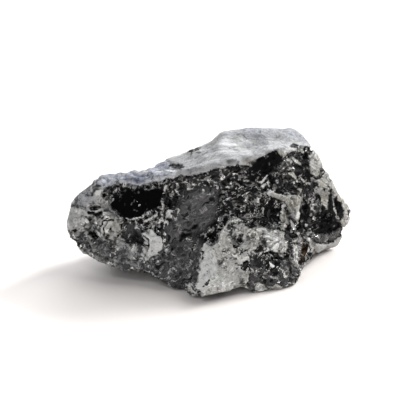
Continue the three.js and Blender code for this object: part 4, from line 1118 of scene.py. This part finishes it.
def leanedNormal(t, marks, dark):  # dark flakes lean their own ways and catch the light
    gloss = t.layer("gloss")
    leaning = t.math("MULTIPLY", dark, t.ramp(t.layer("matteSheen"), 0.0, 1.0, 1.0, 0.25))
    leaning = t.math("MULTIPLY", leaning, t.ramp(gloss, 0.0, 1.0, 0.6, 0.05))
    crest = t.math("MULTIPLY", t.ramp(marks.line, 0.07, 0.0), 0.45)  # thin curved crests
    bump = t.node("ShaderNodeBump")
    bump.inputs["Distance"].default_value = stoneFinish["bump"] * mm
    t.feed(bump.inputs["Strength"], t.math("MULTIPLY", t.ramp(gloss, 0.0, 1.0, 0.8, 0.08), marks.calm))
    t.feed(bump.inputs["Height"], t.sum(crest, (marks.fine, 0.0, 1.0), (marks.finest, 0.0, 0.35)))
    leaned = t.vector("ADD", bump.outputs[0], t.vector("SCALE", marks.lean, leaning))
    flat = t.math("MULTIPLY", t.ramp(gloss, 0.2, 1.0), dark)  # the glossiest faces are quite flat
    leaned = t.vector("SCALE", leaned, t.math("SUBTRACT", 1.0, flat))
    facing = t.node("ShaderNodeCombineXYZ")
    t.feed(facing.inputs[1], t.math("MULTIPLY", flat, -0.96))
    t.feed(facing.inputs[2], t.math("MULTIPLY", flat, 0.3))
    return t.vector("NORMALIZE", t.vector("ADD", leaned, facing.outputs[0]))


def stoneMaterial():
    t = Tree("labradoriteAndHornblende")
    marks = marksOf(t)
    dark, frayed = hornblendeShare(t, marks)
    matteSheen = matteSheenShare(t, marks)
    bright = glintShare(t, marks)
    shiny = t.math("MULTIPLY", bright, t.ramp(dark, 0.3, 0.7))
    colour = t.mix(dark, feldsparColour(t, marks, frayed), hornblendeColour(t, marks, matteSheen))
    rusty = t.math("MULTIPLY", t.layer("rust"), t.ramp(marks.fine, 0.4, 0.6))
    colour = t.mix(rusty, colour, stoneFinish["rust"])
    # painted glints: flakes and grains whitened in the colour
    colour = t.mix(bright, colour, stoneFinish["fleckAndGlint"])
    roughDark = t.ramp(matteSheen, 0.0, 1.0, 0.1, 0.3)
    roughPale = t.ramp(marks.finest, 0.3, 0.7, 0.2, 0.4)
    rough = t.math("MULTIPLY_ADD", dark, t.math("SUBTRACT", roughDark, roughPale), roughPale)
    shader = t.node("ShaderNodeBsdfPrincipled")
    shader.inputs["Specular IOR Level"].default_value = 0.1
    t.feed(shader.inputs["Base Color"], colour)
    t.feed(shader.inputs["Metallic"], shiny)
    t.feed(shader.inputs["Roughness"], t.math("MULTIPLY_ADD", shiny, 0.1, rough))
    t.feed(shader.inputs["Normal"], leanedNormal(t, marks, dark))
    t.feed(t.node("ShaderNodeOutputMaterial").inputs[0], shader.outputs[0])
    return t.material


studio = {
    "air": 0.14,  # light from all round
    "tableSize": 6,  # metres
    "tableColour": (0.9, 0.865, 0.85),
    "lampDistance": 0.4,  # metres
    "lamps": {  # the way to each lamp, and how widely it is spread in degrees
        "key": dict(way=(0.71, 0.5, 0.5), spread=20, strength=3.0, colour=(1.0, 0.99, 0.97)),
        "side": dict(way=(0.68, 0.22, 0.7), spread=40, strength=1.7, colour=(1.0, 0.99, 0.97)),
        "back": dict(way=(-0.05, 0.7, 0.7), spread=60, strength=1.5, colour=(0.98, 0.99, 1.0)),
        "backLow": dict(way=(0.16, 0.89, 0.42), spread=30, strength=0.9, colour=(0.98, 0.99, 1.0)),
        "fill": dict(way=(-0.61, -0.61, 0.5), spread=60, strength=0.65, colour=(0.98, 0.99, 1.0)),
        "frontTop": dict(way=(-0.2, -0.45, 0.87), spread=11, strength=0.3, colour=(1.0, 0.99, 0.98)),
    },
}


def makeTable():
    bpy.ops.mesh.primitive_plane_add(size=studio["tableSize"], location=(0, 0, 0))
    table = bpy.context.object
    table.name = "table"
    t = Tree("tableTop")
    shader = t.node("ShaderNodeBsdfPrincipled")
    shader.inputs["Base Color"].default_value = (*studio["tableColour"], 1)
    shader.inputs["Roughness"].default_value = 0.9
    shader.inputs["Specular IOR Level"].default_value = 0.1
    t.feed(t.node("ShaderNodeOutputMaterial").inputs[0], shader.outputs[0])
    table.data.materials.append(t.material)


def makeLight():
    world = bpy.data.worlds.new("studioAir")
    world.use_nodes = True
    air = world.node_tree.nodes["Background"]
    air.inputs[0].default_value = (1, 1, 1, 1)
    air.inputs[1].default_value = studio["air"]
    bpy.context.scene.world = world
    for name, looks in studio["lamps"].items():
        data = bpy.data.lights.new(name, "SUN")
        data.angle = math.radians(looks["spread"])
        data.energy = looks["strength"]
        data.color = looks["colour"]
        lamp = bpy.data.objects.new(name, data)
        lamp.location = Vector(looks["way"]) * studio["lampDistance"]
        lamp.rotation_euler = (-lamp.location).to_track_quat("-Z", "Y").to_euler()
        bpy.context.scene.collection.objects.link(lamp)
    bpy.context.scene.view_settings.view_transform = "Standard"
    bpy.context.scene.view_settings.look = "None"


makeCamera()
print("camera made")
labradorite = makeStone()
labradorite.data.materials.clear()
labradorite.data.materials.append(stoneMaterial())
print("minerals laid on the stone")
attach(labradorite, "root")
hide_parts("raw_stone")
makeTable()
makeLight()
print("table and light made")
